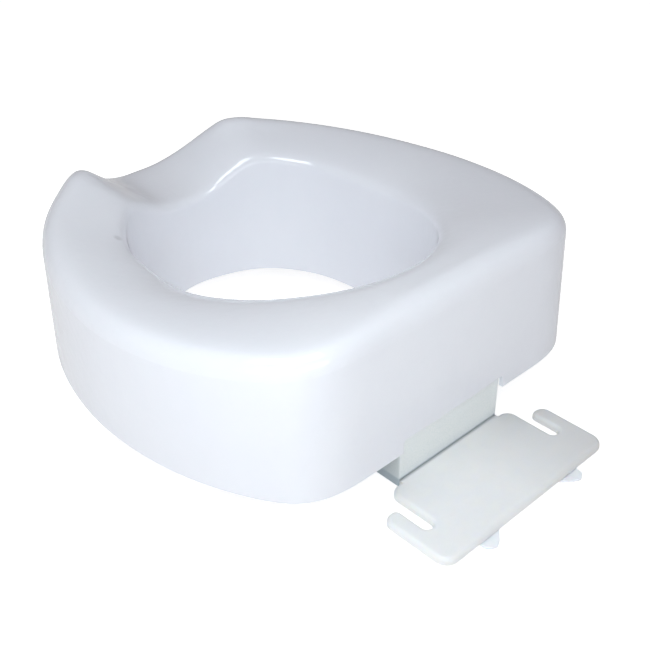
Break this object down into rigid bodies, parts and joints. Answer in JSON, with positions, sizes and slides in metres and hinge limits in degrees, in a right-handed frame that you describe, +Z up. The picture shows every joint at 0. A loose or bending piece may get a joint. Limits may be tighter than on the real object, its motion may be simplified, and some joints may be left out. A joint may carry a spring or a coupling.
{
  "type": "raised toilet seat",
  "caption": "White moulded raised toilet seat with an oval splash wall, a front scoop and a folded metal rear bracket on a slotted anchor plate with two latch levers.",
  "frame": {"origin": "bottom centre of the whole object's box, at the level of the feet and pads", "axes": "+Z up, +Y towards the tank, -Y towards the front scoop, +X the seated person's left"},
  "size_m": [0.3712, 0.4734, 0.1498],
  "materials": {
    "shell_plastic": "gloss",
    "plate_plastic": "satin",
    "bracket_metal": "satin",
    "lever_plastic": "gloss",
    "steel": "satin",
    "spring_steel": "satin",
    "nylon": "matte",
    "pad_rubber": "matte"
  },
  "bodies": {
    "seat": {"seat_shell": "shell_plastic", "bracket_box": "bracket_metal", "bracket_washers": "steel", "bracket_screws": "steel", "anchor_plate": "plate_plastic", "pivot_screw_left": "steel", "pivot_screw_right": "steel", "pivot_washer_left": "nylon", "pivot_washer_right": "nylon", "return_spring_left": "spring_steel", "return_spring_right": "spring_steel", "rim_pad_front_left": "pad_rubber", "rim_pad_front_right": "pad_rubber", "rim_pad_rear_left": "pad_rubber", "rim_pad_rear_right": "pad_rubber"},
    "lever_left": {"latch_lever_left": "lever_plastic"},
    "lever_right": {"latch_lever_right": "lever_plastic"}
  },
  "joints": [
    {"name": "latch_left", "type": "hinge", "parent": "seat", "child": "lever_left", "pos_m": [0.043, 0.19329, 0.0027], "axis": [0, 0, 1], "range_deg": [0, 7], "stiffness_Nm_per_rad": 0.08, "deforming": ["return_spring_left"]},
    {"name": "latch_right", "type": "hinge", "parent": "seat", "child": "lever_right", "pos_m": [-0.043, 0.19329, 0.0027], "axis": [0, 0, -1], "range_deg": [0, 7], "stiffness_Nm_per_rad": 0.08, "deforming": ["return_spring_right"]}
  ]
}
